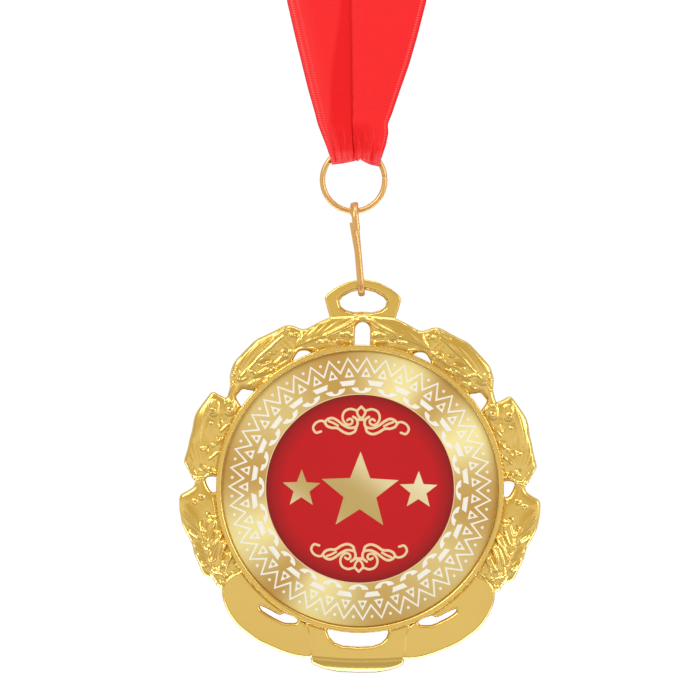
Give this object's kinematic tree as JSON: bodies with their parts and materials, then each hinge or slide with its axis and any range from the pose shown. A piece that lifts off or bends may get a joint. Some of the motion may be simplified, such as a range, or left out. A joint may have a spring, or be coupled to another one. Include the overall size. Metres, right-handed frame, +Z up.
{
  "type": "award medal on ribbon",
  "caption": "Gold cast wreath medal with a printed round insert, hung from a red satin ribbon by a wire hook link and a split ring.",
  "frame": {"origin": "the point under the ribbon's eye where a peg carries the medal", "axes": "+Z up, -Y towards the viewer of the printed face, +X to that viewer's right; the ribbon, ring and medal hang in the plane Y = 0"},
  "size_m": [0.0644, 0.0148, 0.188],
  "materials": {
    "cast_gold": "bright gold plating on a zinc casting",
    "wire_gold": "polished plated wire, slightly redder gold",
    "printed_plate": "satin gold aluminium printed in white and dark red",
    "foam_tape": "white foam adhesive",
    "red_satin": "bright red polyester satin, woven selvages",
    "red_thread": "polyester sewing thread",
    "band_paper": "plain white coated paper"
  },
  "bodies": {
    "ribbon": {"ribbon_drop": "red_satin", "ribbon_hank": "red_satin", "ribbon_eye": "red_satin", "seam_stitching": "red_thread", "tie_band": "band_paper"},
    "ring": {"jump_ring": "wire_gold"},
    "link": {"hook_link": "wire_gold"},
    "medal": {"wreath_frame": "cast_gold", "adhesive_disc": "foam_tape", "insert_plate": "printed_plate"}
  },
  "joints": [
    {"name": "ring_swing", "type": "hinge", "parent": "ribbon", "child": "ring", "pos_m": [0, 0, -0.0953], "axis": [1, 0, 0], "range_deg": [-60, 60]},
    {"name": "link_slide", "type": "hinge", "parent": "ring", "child": "link", "pos_m": [0, 0, -0.1], "axis": [0, 1, 0], "range_deg": [-90, 90]},
    {"name": "medal_tilt", "type": "hinge", "parent": "link", "child": "medal", "pos_m": [0.00155, 0, -0.11854], "axis": [1, 0, 0], "range_deg": [-85, 85]}
  ]
}
